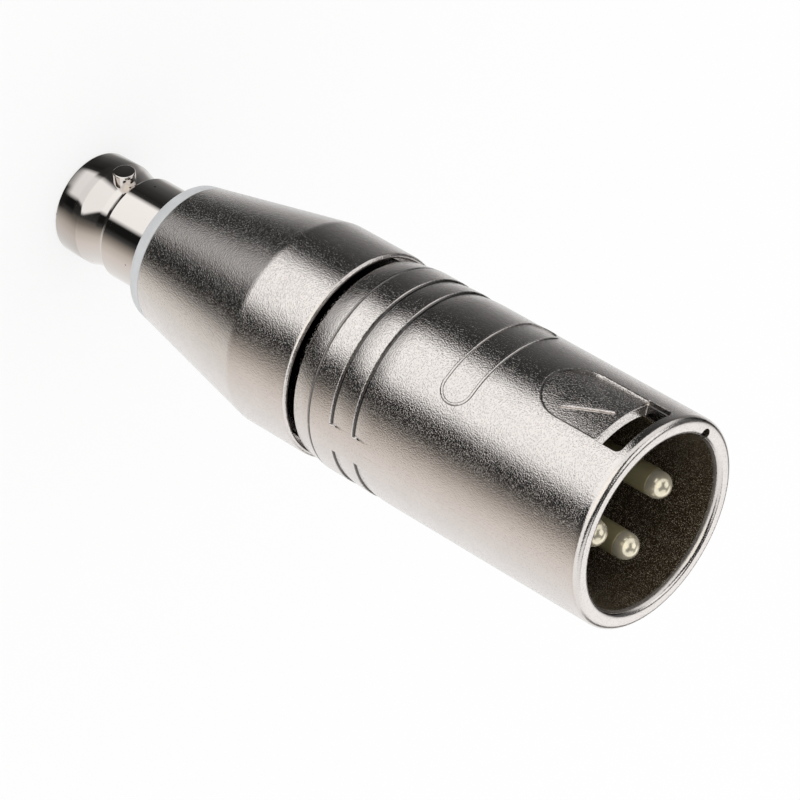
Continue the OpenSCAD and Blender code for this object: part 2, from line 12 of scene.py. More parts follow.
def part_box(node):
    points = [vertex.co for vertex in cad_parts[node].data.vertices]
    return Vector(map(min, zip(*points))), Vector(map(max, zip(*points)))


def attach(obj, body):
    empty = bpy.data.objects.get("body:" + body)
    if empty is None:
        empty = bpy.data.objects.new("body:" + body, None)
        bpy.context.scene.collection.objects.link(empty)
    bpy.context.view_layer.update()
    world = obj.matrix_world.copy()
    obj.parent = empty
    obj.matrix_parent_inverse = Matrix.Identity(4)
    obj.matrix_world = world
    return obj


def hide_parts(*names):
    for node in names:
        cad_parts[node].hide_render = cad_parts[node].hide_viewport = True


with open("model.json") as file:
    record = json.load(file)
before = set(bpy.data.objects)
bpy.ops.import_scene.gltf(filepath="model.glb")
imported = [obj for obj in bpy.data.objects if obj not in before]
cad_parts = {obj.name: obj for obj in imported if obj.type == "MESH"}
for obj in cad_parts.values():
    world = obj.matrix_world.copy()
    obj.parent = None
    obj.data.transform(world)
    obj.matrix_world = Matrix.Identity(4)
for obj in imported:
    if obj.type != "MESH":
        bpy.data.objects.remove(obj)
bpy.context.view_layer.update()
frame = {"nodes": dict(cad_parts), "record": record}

bl_info = {
    "name": "Pin to Bayonet Adapter",
    "version": (1, 0, 0),
    "blender": (4, 5, 0),
    "location": "View3D > Sidebar > Adapter",
    "description": "Dresses the adapter with fine meshes, metal and plastic finishes, and sets its stage",
    "category": "Object",
}

MM = 0.001
BODY = "root"
SHELL_LOW, SHELL_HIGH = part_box("xlr_shell")
COVER_LOW, COVER_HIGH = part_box("rear_cover")
JACK_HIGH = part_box("bnc_body")[1]
INSERT_LOW, INSERT_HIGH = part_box("contact_insert")
SLOTS = {part["node"]: part["material_slot"] for part in frame["record"]["subparts"]}

# Heights and radii that the shapes and the finishes share, in millimetres
RIM = SHELL_HIGH.z / MM
RADIUS = SHELL_HIGH.x / MM
MOUTH = 7.9
WINDOW_FRONT = RIM - 1.15
WINDOW_BACK = RIM - 3.6
RECESS_BACK = RIM - 11.25
GRIP_STEPS = (RIM - 27.2, RIM - 24.7)
CREASE = RIM - 29.6
COVER_TOP = COVER_HIGH.z / MM
PIN_GROOVE = RIM - 3.6
JACK_RING = 2.7

# Height of each line of the grip, and how far the painted shade in it reaches
SHADED_GRIP_LINES = ((CREASE, 0.3), *((step + 0.12, 0.2) for step in GRIP_STEPS))

LATCH = math.radians(-90)
TURN_STEPS = 240
SHELL_STEPS = 480
SHARP_ANGLE = math.radians(32)


def length_property(name, description, default):
    """Property for a length given in millimetres"""
    return FloatProperty(name=name, description=description, default=default * MM, unit="LENGTH")


def angle_property(name, description, default):
    """Property for an angle given in degrees"""
    return FloatProperty(name=name, description=description, default=math.radians(default), subtype="ANGLE")


def share_property(name, description, default):
    """Property for a share from 0 to 1"""
    return FloatProperty(name=name, description=description, default=default, subtype="FACTOR")


def colour_property(name, description, *default):
    """Property for a colour given as red, green and blue"""
    return FloatVectorProperty(name=name, description=description, default=default, subtype="COLOR")


class ShellSettings(bpy.types.PropertyGroup):
    """Sizes of the pin end's shell"""

    rim_round: length_property("Rim round", "Round of the rim's outer edge", 0.6)
    mouth_round: length_property("Mouth round", "Round of the rim's inner edge", 0.5)
    grip_depth: length_property("Grip depth", "Depth of the grip steps", 0.18)
    grip_ramp: length_property("Grip ramp", "Length of the ramp in front of each grip step", 2.1)
    recess_depth: length_property("Recess depth", "Depth of the recess at its front, along its middle", 0.36)
    recess_bend: length_property("Recess bend", "Radius of the recess's floor at its front", 13.9)
    recess_end: length_property("Recess end", "Depth of the recess at its round end", 0.2)
    recess_round: length_property("Recess round", "Round of the recess's edge", 0.19)
    window_width: length_property("Window width", "Width of the latch window, round the shell", 6.6)
    seam: length_property("Parting line", "Height of the parting line along the shell", 0.012)


class StageSettings(bpy.types.PropertyGroup):
    """Camera and floor"""

    azimuth: angle_property("Azimuth", "Camera's turn about the object, 0 looks along +Y", 41.19)
    elevation: angle_property("Elevation", "Camera's height as an angle", 33.43)
    roll: angle_property("Roll", "Camera's turn about its own line of sight", 120.11)
    distance: length_property("Distance", "Camera's distance from the point it aims at", 345.64)
    aim: FloatVectorProperty(
        name="Aim", description="Point that the camera looks at",
        default=(1.186 * MM, 1.037 * MM, 38.528 * MM), subtype="XYZ", unit="LENGTH")
    lens: FloatProperty(
        name="Lens", description="Focal length on a 36 mm sensor, in millimetres", default=186.31)
    floor_size: length_property("Floor", "Side of the square floor", 6000.0)
    floor_colour: colour_property("Floor colour", "Colour of the floor", 0.98, 0.98, 0.98)
    shadow: share_property("Shadow", "Share of the floor's look that takes the shadow", 0.3)


class FinishSettings(bpy.types.PropertyGroup):
    """Colours and surfaces of the finishes"""

    satin_colour: colour_property("Satin nickel", "Colour of shell and cover", 0.80, 0.755, 0.725)
    satin_roughness: share_property("Satin roughness", "Roughness of shell and cover", 0.125)
    grain_size: length_property("Grain", "Size of the blasted grain", 0.115)
    grain_depth: length_property("Grain depth", "Depth of the blasted grain", 0.021)
    rim_grain: share_property("Rim grain", "Share of the grain that is left on the worn rim", 0.4)
    dent_shade: share_property("Dents", "Brightness left in the small dents", 0.95)
    # Painted shade: the five shares below darken the colour in the joint, the grip's lines, the recess's end,
    # the frame's flanks and the window's sides
    joint_painted_shade: share_property("Joint", "Brightness left in the gap behind the cover's rim", 0.12)
    grip_painted_shade: share_property("Painted grip shade", "Brightness left in the lines of the grip", 0.18)
    recess_painted_shade: share_property("Recess edge", "Brightness left on the edge round the recess's end", 0.12)
    frame_painted_shade: share_property("Frame edge", "Brightness left beside the line of the label frame", 0.35)
    window_painted_shade: share_property("Window sides", "Brightness left on the side walls of the window", 0.15)
    # Painted shade: the mouth's dark colour stands in for shade on the nickel inside, and its bright specks
    # are painted highlights
    mouth_painted_shade: colour_property("Mouth", "Colour inside the mouth", 0.034, 0.022, 0.011)
    painted_highlight_colour: colour_property("Glints", "Colour of the bright specks inside the mouth", 0.8, 0.7, 0.54)
    polish_colour: colour_property("Polished nickel", "Colour of the jack", 0.73, 0.688, 0.655)
    polish_roughness: share_property("Polish roughness", "Roughness of the jack", 0.03)
    # Painted shade: the jack's front ring is darkened in colour
    ring_painted_shade: share_property("Front ring", "Brightness left on the jack's front ring", 0.82)
    silver_colour: colour_property("Silver", "Colour of the pins' tips", 0.98, 0.9, 0.7)
    tarnish_colour: colour_property("Tarnish", "Colour of the pins behind their tips", 0.46, 0.41, 0.23)
    washer_colour: colour_property("Washer", "Colour of the washer", 0.68, 0.69, 0.70)


class Nodes:
    """Adds nodes to a tree and wires them: a value that is a socket is linked, any other is set"""

    def __init__(self, tree):
        self.tree = tree

    def feed(self, socket, value):
        """Links or sets one input"""
        if isinstance(value, bpy.types.NodeSocket):
            self.tree.links.new(value, socket)
        else:
            socket.default_value = value

    def wire(self, node, values):
        """Feeds the named inputs of a node"""
        for name, value in values.items():
            self.feed(node.inputs[name], value)

    def add(self, kind, values=None, **settings):
        """New node of a kind, with its inputs fed and its settings made"""
        node = self.tree.nodes.new(kind)
        for name, setting in settings.items():
            setattr(node, name, setting)
        self.wire(node, values or {})
        return node

    def math(self, operation, first, second=0.0):
        return self.add("ShaderNodeMath", {0: first, 1: second}, operation=operation).outputs[0]

    def times(self, *factors):
        """Product of two or more values"""
        return functools.reduce(functools.partial(self.math, "MULTIPLY"), factors)

    def spread(self, value, low, high, to_low=0.0, to_high=1.0, ease="SMOOTHSTEP"):
        """Maps low..high of a value to another range, without going past its ends"""
        settings = {"Value": value, "From Min": low, "From Max": high, "To Min": to_low, "To Max": to_high}
        return self.add("ShaderNodeMapRange", settings, interpolation_type=ease).outputs[0]

    def edge(self, value, off, on, to_off=0.0, to_on=1.0):
        """Mask from 0 to 1, or between two other values, from one length to another in millimetres"""
        return self.spread(value, off * MM, on * MM, to_off, to_on)

    def blend(self, mask, first, second):
        """Value that a mask carries from first to second"""
        return self.spread(mask, 0.0, 1.0, first, second)

    def axes(self, vector):
        """X, Y and Z of a vector"""
        return self.add("ShaderNodeSeparateXYZ", {"Vector": vector}).outputs

    def across(self, x, y):
        """Distance from the Z axis"""
        return self.math("SQRT", self.math("ADD", self.times(x, x), self.times(y, y)))

    def noise(self, place, scale, detail, roughness):
        return self.add("ShaderNodeTexNoise", {
            "Vector": place, "Scale": scale, "Detail": detail, "Roughness": roughness}).outputs["Fac"]

    def bump(self, height, distance, strength=1.0):
        return self.add("ShaderNodeBump", {
            "Strength": strength, "Distance": distance, "Height": height}).outputs[0]

    def ramp(self, value, stops):
        """Colour ramp through (position, colour) stops, the first at 0"""
        node = self.add("ShaderNodeValToRGB", {"Fac": value})
        elements = node.color_ramp.elements
        elements.remove(elements[-1])
        elements[0].color = (*stops[0][1], 1.0)
        for position, colour in stops[1:]:
            elements.new(position).color = (*colour, 1.0)
        return node.outputs["Color"]

    def mix(self, factor, first, second, blend="MIX"):
        """Colour mixed of two, each a socket or a tuple"""
        node = self.add("ShaderNodeMix", data_type="RGBA", blend_type=blend)
        for name, value in (("Factor", factor), ("A", first), ("B", second)):
            socket = next(s for s in node.inputs if s.name == name and s.enabled)
            self.feed(socket, (*value, 1.0) if isinstance(value, tuple) else value)
        return next(s for s in node.outputs if s.enabled)

    def tint(self, colour, shade):
        """Colour darkened by a shade"""
        grey = self.add("ShaderNodeCombineColor", {"Red": shade, "Green": shade, "Blue": shade}).outputs[0]
        return self.mix(1.0, colour, grey, "MULTIPLY")


def made_once(store, name):
    """Makes what a function makes under that name in bpy.data, and later hands out the same one again"""
    def keep(make):
        @functools.wraps(make)
        def fetch():
            return getattr(bpy.data, store).get(name) or make(name)
        return fetch
    return keep


def cleared(tree):
    """Nodes for a tree that is emptied first"""
    tree.nodes.clear()
    return Nodes(tree)


def group(name, size, default, outputs):
    """Shader node group with a place and one size as inputs: returns its tree, nodes, inputs and end"""
    tree = bpy.data.node_groups.new(name, "ShaderNodeTree")
    tree.interface.new_socket("Vector", in_out="INPUT", socket_type="NodeSocketVector")
    tree.interface.new_socket(size, in_out="INPUT", socket_type="NodeSocketFloat").default_value = default
    for socket in outputs:
        tree.interface.new_socket(socket, in_out="OUTPUT", socket_type="NodeSocketFloat")
    start = tree.nodes.new("NodeGroupInput")
    end = tree.nodes.new("NodeGroupOutput")
    return tree, Nodes(tree), start.outputs, end


@made_once("node_groups", "Blasted grain")
def blasted_grain(name):
    """Fine grain of a blasted casting: its height, masks of dents and of specks for painted highlights, and a
    wide unevenness
    """
    tree, nodes, ins, end = group(name, "Size", 0.1 * MM, ("Height", "Dent", "Glint", "Mottle"))
    place = ins["Vector"]
    shifted = nodes.add("ShaderNodeVectorMath", {0: place, 1: (0.7, 0.4, 0.2)}, operation="ADD").outputs[0]
    scale = nodes.math("DIVIDE", 1.0, ins["Size"])
    fine = nodes.noise(place, scale, 1.0, 0.5)
    dents = nodes.spread(nodes.noise(shifted, nodes.times(scale, 0.9), 0.0, 0.5), 0.56, 0.68)
    # Specks where painted highlights go inside the mouth
    painted_highlights = nodes.spread(nodes.noise(shifted, nodes.times(scale, 1.9), 0.0, 0.5), 0.6, 0.8)
    nodes.wire(end, {
        "Height": nodes.math("SUBTRACT", fine, nodes.times(dents, 0.28)),
        "Dent": dents,
        "Glint": painted_highlights,
        "Mottle": nodes.noise(place, nodes.times(scale, 0.04), 3.0, 0.6)})
    return tree


@made_once("node_groups", "Turning marks")
def turning_marks(name):
    """Fine rings left by a lathe about the Z axis: their height, and a mask of faint smears"""
    smear_scale = 450.0
    tree, nodes, ins, end = group(name, "Pitch", 0.05 * MM, ("Height", "Smear"))
    x, y, z = nodes.axes(ins["Vector"])
    rings = nodes.add("ShaderNodeCombineXYZ", {"X": nodes.across(x, y), "Y": 0.0, "Z": z}).outputs[0]
    nodes.wire(end, {
        "Height": nodes.noise(rings, nodes.math("DIVIDE", 1.0, ins["Pitch"]), 2.0, 0.7),
        "Smear": nodes.noise(ins["Vector"], smear_scale, 4.0, 0.65)})
    return tree


def material(name):
    """New material with an empty tree: returns it, its nodes, Object coordinates and the shader"""
    finish = bpy.data.materials.new(name)
    finish.use_nodes = True
    nodes = cleared(finish.node_tree)
    place = nodes.add("ShaderNodeTexCoord").outputs["Object"]
    shader = nodes.add("ShaderNodeBsdfPrincipled")
    nodes.add("ShaderNodeOutputMaterial", {"Surface": shader.outputs[0]})
    return finish, nodes, place, shader


def finishes():
    """Settings of the finishes"""
    return bpy.context.scene.adapter_finish


class ShellMasks:
    """Masks of the places on shell and cover where their finish changes, and where shade is painted into the
    colour
    """

    def __init__(self, nodes, place):
        self.nodes = nodes
        x, self.y, self.z = nodes.axes(place)
        self.across = nodes.across(x, self.y)
        facing = nodes.add("ShaderNodeNewGeometry").outputs["True Normal"]
        self.upward = nodes.axes(facing)["Z"]
        self.wall = nodes.times(
            nodes.edge(self.across, MOUTH + 0.1, MOUTH + 0.2),
            nodes.edge(self.across, RADIUS, RADIUS - 0.03))

    def mouth(self):
        """Inside of the mouth"""
        return self.nodes.times(
            self.nodes.edge(self.across, MOUTH + 0.35, MOUTH + 0.1),
            self.nodes.edge(self.z, RIM - 0.1, RIM - 0.8),
            self.nodes.edge(self.z, COVER_TOP, COVER_TOP + 2.0))

    def joint(self):
        """Gap between the cover's rim and the shell's tail, where shade is painted into the colour"""
        return self.nodes.times(
            self.nodes.edge(self.across, RADIUS - 0.2, RADIUS - 0.4),
            self.nodes.edge(self.z, COVER_TOP - 2.0, COVER_TOP - 1.0),
            self.nodes.edge(self.z, COVER_TOP + 0.2, COVER_TOP - 0.05))

    def shaded_grip_line(self, line, reach):
        """Line of the grip, below the shell's own surface, where shade is painted into the colour"""
        away = self.nodes.math("ABSOLUTE", self.nodes.math("SUBTRACT", self.z, line * MM))
        return self.nodes.times(
            self.nodes.edge(away, reach, 0.4 * reach),
            self.nodes.edge(self.across, RADIUS - 0.005, RADIUS - 0.06))

    def tongue(self):
        """Recess behind the latch window"""
        return self.nodes.times(
            self.nodes.edge(self.z, RECESS_BACK - 0.35, RECESS_BACK - 0.25),
            self.nodes.edge(self.z, WINDOW_BACK, WINDOW_BACK - 0.2),
            self.wall)

    def recess_end(self, tongue):
        """Edge round the recess's back end, where it faces the rim and shade is painted into the colour"""
        return self.nodes.times(
            tongue,
            self.nodes.spread(self.upward, 0.1, 0.4),
            self.nodes.edge(self.z, WINDOW_BACK - 4.8, WINDOW_BACK - 5.2))

    def frame_flank(self):
        """Sides of the label frame's raised line, where shade is painted into the colour"""
        return self.nodes.times(
            self.nodes.edge(self.across, RADIUS + 0.001, RADIUS + 0.006),
            self.nodes.edge(self.across, RADIUS + 0.08, RADIUS + 0.05),
            self.nodes.edge(self.y, -5.0, -6.0))

    def window_sides(self):
        """Side walls of the latch window, where shade is painted into the colour"""
        return self.nodes.times(
            self.nodes.edge(self.z, WINDOW_BACK, WINDOW_BACK + 0.1),
            self.nodes.edge(self.z, WINDOW_FRONT + 0.05, WINDOW_FRONT - 0.05),
            self.nodes.spread(self.nodes.math("ABSOLUTE", self.upward), 0.6, 0.4),
            self.wall)


@made_once("materials", "satin_nickel_plate")
def satin_nickel(name):
    """Blasted and nickel plated casting, dull inside the mouth, with painted shade in its gaps, grip lines
    and edges, and a dark brown painted shade with painted highlights inside the mouth
    """
    look = finishes()
    finish, nodes, place, shader = material(name)
    height, dent, painted_highlight, mottle = nodes.add(
        "ShaderNodeGroup", {"Vector": place, "Size": look.grain_size}, node_tree=blasted_grain()).outputs
    masks = ShellMasks(nodes, place)
    mouth = masks.mouth()
    tongue = masks.tongue()
    # Painted shade: the joint, the lines of the grip, the recess's end, the frame's flanks and the window's
    # sides are darkened in colour; the dents are grain
    darkened = [(dent, look.dent_shade), (masks.joint(), look.joint_painted_shade)]
    darkened += [(masks.shaded_grip_line(line, reach), look.grip_painted_shade) for line, reach in SHADED_GRIP_LINES]
    darkened += [
        (masks.recess_end(tongue), look.recess_painted_shade), (masks.frame_flank(), look.frame_painted_shade),
        (masks.window_sides(), look.window_painted_shade)]
    shade = nodes.spread(mottle, 0.35, 0.7, 0.96, 1.0)
    for mask, left in darkened:
        shade = nodes.times(shade, nodes.blend(mask, 1.0, left))
    outer = nodes.tint(tuple(look.satin_colour), shade)
    # Inside the mouth the colour is a painted shade of dark brown with painted highlights
    inner = nodes.mix(painted_highlight, tuple(look.mouth_painted_shade), tuple(look.painted_highlight_colour))
    rough = nodes.spread(mottle, 0.3, 0.7, look.satin_roughness - 0.02, look.satin_roughness + 0.03)
    worn = nodes.edge(masks.z, RIM - 1.1, RIM - 0.6, 1.0, look.rim_grain)
    depth = nodes.blend(tongue, look.grain_depth, 1.8 * look.grain_depth)
    nodes.wire(shader, {
        "Base Color": nodes.mix(mouth, outer, inner),
        "Roughness": nodes.math("ADD", rough, nodes.times(mouth, 0.2)),
        "Metallic": nodes.blend(mouth, 1.0, 0.3),
        "Specular IOR Level": 0.12,
        "Normal": nodes.bump(height, depth, worn)})
    return finish


@made_once("materials", "polished_nickel_plate")
def polished_nickel(name):
    """Turned, polished and nickel plated brass with a few fine pits, its front ring's colour darkened as a
    painted shade
    """
    look = finishes()
    finish, nodes, place, shader = material(name)
    pit_scale, mark_depth = 700.0, 0.0002 * MM
    height, smear = nodes.add("ShaderNodeGroup", {"Vector": place}, node_tree=turning_marks()).outputs
    # Painted shade: the front ring's colour is darker
    ring = nodes.edge(nodes.axes(place)["Z"], JACK_RING - 0.1, JACK_RING + 0.1, look.ring_painted_shade, 1.0)
    pits = nodes.add("ShaderNodeTexVoronoi", {"Vector": place, "Scale": pit_scale}).outputs["Distance"]
    shade = nodes.times(ring, nodes.spread(pits, 0.05, 0.1, 0.25, 1.0))
    nodes.wire(shader, {
        "Base Color": nodes.tint(tuple(look.polish_colour), shade),
        "Roughness": nodes.spread(smear, 0.35, 0.7, look.polish_roughness, look.polish_roughness + 0.05),
        "Metallic": 1.0,
        "Normal": nodes.bump(height, mark_depth)})
    return finish


@made_once("materials", "silver_plate_turned")
def silver_plate(name):
    """Silver plated pin, tarnished to a dull olive behind its tip, its colour darkened deeper in the mouth as
    a painted shade
    """
    look = finishes()
    finish, nodes, place, shader = material(name)
    mark_depth = 0.0003 * MM
    height, smear = nodes.add("ShaderNodeGroup", {"Vector": place}, node_tree=turning_marks()).outputs
    z = nodes.axes(place)["Z"]
    tip = nodes.edge(z, PIN_GROOVE - 0.05, PIN_GROOVE + 0.05)
    # Painted shade: the colour darkens deeper in the mouth; the smears are the pin's own tone
    shade = nodes.times(
        nodes.spread(smear, 0.35, 0.7, 0.85, 1.0), nodes.edge(z, RIM - 12.0, RIM - 4.4, 0.45, 1.0))
    tone = nodes.mix(tip, tuple(look.tarnish_colour), tuple(look.silver_colour))
    nodes.wire(shader, {
        "Base Color": nodes.tint(tone, shade),
        "Roughness": nodes.blend(tip, 0.42, 0.2),
        "Metallic": nodes.blend(tip, 0.6, 0.66),
        "Normal": nodes.bump(height, mark_depth)})
    return finish


def plain_finish(name, colour, roughness, metallic=0.0, grain=0.1, depth=0.002):
    """Moulded, drawn or cut surface with a fine grain, in millimetres, and a faint unevenness of colour"""
    finish, nodes, place, shader = material(name)
    marks = nodes.add("ShaderNodeGroup", {"Vector": place, "Size": grain * MM}, node_tree=blasted_grain())
    mottle = marks.outputs["Mottle"]
    nodes.wire(shader, {
        "Base Color": nodes.tint(colour, nodes.spread(mottle, 0.3, 0.7, 0.88, 1.0)),
        "Roughness": nodes.spread(mottle, 0.3, 0.7, roughness - 0.04, roughness + 0.04),
        "Metallic": metallic,
        "Normal": nodes.bump(marks.outputs["Height"], depth * MM)})
    return finish


@made_once("materials", "pale_moulding")
def pale_moulding(name):
    """Pale grey plastic"""
    return plain_finish(name, tuple(finishes().washer_colour), 0.4)


# Colour, roughness, share of metal, and grain and its depth in millimetres, of the finishes inside
INNER_FINISHES = {
    "black_plastic": ((0.02, 0.02, 0.02), 0.45),
    "white_insulator": ((0.9, 0.9, 0.88), 0.35),
    "gold_plate": ((0.95, 0.72, 0.32), 0.18, 1.0, 0.3, 0.001),
    "spring_steel": ((0.55, 0.56, 0.58), 0.28, 1.0, 0.2, 0.001),
    "spring_bronze": ((0.78, 0.56, 0.27), 0.28, 1.0, 0.2, 0.001),
    "green_board": ((0.02, 0.14, 0.06), 0.25, 0.0, 0.5, 0.002),
    "ferrite": ((0.06, 0.06, 0.065), 0.6, 0.0, 0.08, 0.006),
    "copper_wire": ((0.72, 0.27, 0.12), 0.3, 0.8, 0.3, 0.001),
    "sleeve_film": ((0.72, 0.62, 0.36), 0.3, 0.0, 0.6, 0.002),
    "red_lead": ((0.62, 0.03, 0.02), 0.4, 0.0, 0.3, 0.002),
    "black_lead": ((0.02, 0.02, 0.022), 0.4, 0.0, 0.3, 0.002),
}


class ADAPTER_OT_stage(bpy.types.Operator):
    """Sets the floor, the studio cards and the camera"""

    bl_idname = "adapter.stage"
    bl_label = "Stage"

    def execute(self, context):
        stage = context.scene.adapter_stage
        context.scene.view_settings.view_transform = "Standard"
        self.floor(stage)
        self.studio(context)
        self.camera(context, stage)
        return {"FINISHED"}

    def floor(self, stage):
        """White floor with a soft shadow, which the metal doesn't mirror"""
        bm = bmesh.new()
        bmesh.ops.create_grid(bm, x_segments=1, y_segments=1, size=stage.floor_size / 2)
        floor = piece_from(bm, "floor")
        floor.location.z = -0.02 * MM
        floor.visible_glossy = False
        finish = bpy.data.materials.new("floor")
        finish.use_nodes = True
        nodes = cleared(finish.node_tree)
        lit = nodes.add("ShaderNodeBsdfDiffuse", {"Color": (*stage.floor_colour, 1.0)})
        white = nodes.add("ShaderNodeEmission", {"Color": (1.0, 1.0, 1.0, 1.0), "Strength": 1.0})
        seen = nodes.add("ShaderNodeLightPath").outputs["Is Camera Ray"]
        share = nodes.times(seen, 1.0 - stage.shadow)
        both = nodes.add("ShaderNodeMixShader", {0: share, 1: lit.outputs[0], 2: white.outputs[0]})
        nodes.add("ShaderNodeOutputMaterial", {"Surface": both.outputs[0]})
        floor.data.materials.append(finish)

    def studio(self, context):
        """White all round, with cards that only the metal sees"""
        world = bpy.data.worlds.new("studio")
        context.scene.world = world
        world.use_nodes = True
        world.cycles.sampling_method = "NONE"
        nodes = cleared(world.node_tree)
        mirrored = nodes.add("ShaderNodeLightPath").outputs["Is Glossy Ray"]
        colour = nodes.mix(mirrored, (1.0, 1.0, 1.0), self.cards_around(nodes))
        shader = nodes.add("ShaderNodeBackground", {"Color": colour, "Strength": 1.0})
        nodes.add("ShaderNodeOutputWorld", {"Surface": shader.outputs[0]})

    def cards_around(self, nodes):
        """Dark, warm and white cards that stand round the adapter, by the way that they are seen"""
        way = nodes.add("ShaderNodeTexCoord").outputs["Generated"]
        x, y, z = nodes.axes(way)
        turn = nodes.spread(nodes.math("ARCTAN2", y, x), -math.pi, math.pi, ease="LINEAR")

        def cards(*stops):
            """Cards by the turn about the object in degrees, each a grey level or a colour"""
            return nodes.ramp(turn, [
                ((degrees + 180.0) / 360.0, shade if isinstance(shade, tuple) else (shade,) * 3)
                for degrees, shade in stops])

        def near(azimuth, elevation, inner, outer):
            """Mask of a round spot in one direction, by its angles in degrees"""
            side, rise = math.radians(azimuth), math.radians(elevation)
            aim = (math.cos(side) * math.cos(rise), math.sin(side) * math.cos(rise), math.sin(rise))
            dot = nodes.add("ShaderNodeVectorMath", {0: way, 1: aim}, operation="DOT_PRODUCT")
            ends = (math.cos(math.radians(angle)) for angle in (outer, inner))
            return nodes.spread(dot.outputs["Value"], *ends)

        dark = (0.03, 0.03, 0.03)
        white = (1.1, 1.1, 1.1)
        warm_white = (1.2, 1.18, 1.12)
        beige, sand = (0.63, 0.58, 0.53), (0.82, 0.77, 0.74)
        steep = cards(
            (-180, 0.36), (-158, 0.05), (-138, 0.03), (-108, 0.03), (-88, 0.45), (-60, 0.45), (-49, 0.02),
            (-3, 0.02), (16, (0.46, 0.44, 0.41)), (32, (0.74, 0.72, 0.68)), (80, 0.9), (155, 1.0),
            (180, 0.36))
        low = cards(
            (-180, 0.22), (-158, 0.10), (-138, 0.045), (-118, 0.02), (-108, 0.035), (-98, 1.2), (-42, 1.16),
            (-32, 0.01), (-16, 0.01), (-6, 0.06), (1.5, (0.21, 0.19, 0.17)), (21.5, beige), (41.5, sand),
            (80, 0.9), (120, 0.95), (160, 0.7), (172, 0.32), (180, 0.22))
        shallow = cards(
            (-180, 0.28), (-158, 0.12), (-138, 0.05), (-112, 0.03), (-102, 0.04), (-91, 1.12), (-44, 1.1),
            (-34, 0.02), (-12, 0.04), (1.5, (0.2, 0.18, 0.16)), (21.5, beige), (41.5, sand),
            (80, 0.9), (120, 0.95), (160, 0.9), (173, 0.5), (180, 0.28))
        high = cards(
            (-180, 0.1), (-165, 0.15), (-148, 0.9), (-60, 1.0), (15, 1.0), (60, 0.95), (131, 1.1),
            (150, 0.85), (162, 0.1), (180, 0.1))
        ceiling = cards((-180, 0.03), (20, 0.03), (42, 0.85), (100, 0.9), (122, 0.03), (180, 0.03))
        line = cards((-180, 0.1), (-160, 1.0), (75, 1.0), (95, 0.1), (180, 0.1))

        # A white wedge in the shallow cards, its edge slanting with the height
        degrees = nodes.spread(turn, 0.0, 1.0, -180.0, 180.0, ease="LINEAR")
        slant = nodes.math("SUBTRACT", degrees, nodes.spread(z, -0.485, -0.13, -39.0, -18.0, ease="LINEAR"))
        wedge = nodes.times(nodes.spread(slant, 5.0, -5.0), nodes.spread(degrees, -70.0, -55.0))
        shallow = nodes.mix(wedge, shallow, white)

        # The cards from the floor up, each with the heights between which it takes over
        around = dark
        for start, full, card in (
                (-0.96, -0.88, steep), (-0.77, -0.63, low), (-0.52, -0.46, shallow),
                (-0.05, 0.05, nodes.mix(1.0, high, line, "MULTIPLY")), (0.26, 0.36, high),
                (0.68, 0.76, ceiling), (0.95, 0.98, dark)):
            around = nodes.mix(nodes.spread(z, start, full), around, card)
        around = nodes.mix(near(-160, 62, 17, 21), around, white)
        return nodes.mix(near(-48.8, 31, 23, 33), around, warm_white)

    def camera(self, context, stage):
        """Camera that looks at its aim, rolled so that the standing adapter lies across the picture"""
        turn, rise, roll = stage.azimuth, stage.elevation, stage.roll
        back = Vector((math.sin(turn) * math.cos(rise), -math.cos(turn) * math.cos(rise), math.sin(rise)))
        level = Vector((math.cos(turn), math.sin(turn), 0.0))
        upright = back.cross(level)
        right = level * math.cos(roll) + upright * math.sin(roll)
        up = upright * math.cos(roll) - level * math.sin(roll)
        data = bpy.data.cameras.new("camera")
        data.lens = stage.lens
        data.sensor_width = 36.0
        data.clip_start = 0.01
        camera = bpy.data.objects.new("camera", data)
        context.collection.objects.link(camera)
        axes = Matrix((right, up, back)).transposed().to_4x4()
        camera.matrix_world = Matrix.Translation(Vector(stage.aim) + back * stage.distance) @ axes
        context.scene.camera = camera


def turned(outline, steps):
    """Spins a closed outline of (radius, height, round) points, in millimetres, about the Z axis"""
    bm = bmesh.new()
    corners = [bm.verts.new((radius * MM, 0.0, height * MM)) for radius, height, rounding in outline]
    for start, end in zip(corners, corners[1:] + corners[:1]):
        bm.edges.new((start, end))
    for corner, (radius, height, rounding) in zip(corners, outline):
        if rounding:
            bmesh.ops.bevel(
                bm, geom=[corner], offset=rounding * MM, offset_type="OFFSET", segments=4,
                profile=0.5, affect="VERTICES", material=-1, clamp_overlap=False)
    bmesh.ops.spin(
        bm, geom=bm.verts[:] + bm.edges[:], axis=(0.0, 0.0, 1.0), cent=(0.0, 0.0, 0.0),
        angle=2 * math.pi, steps=steps, use_merge=True)
    bmesh.ops.remove_doubles(bm, verts=bm.verts[:], dist=0.0005 * MM)
    bmesh.ops.recalc_face_normals(bm, faces=bm.faces[:])
    return bm


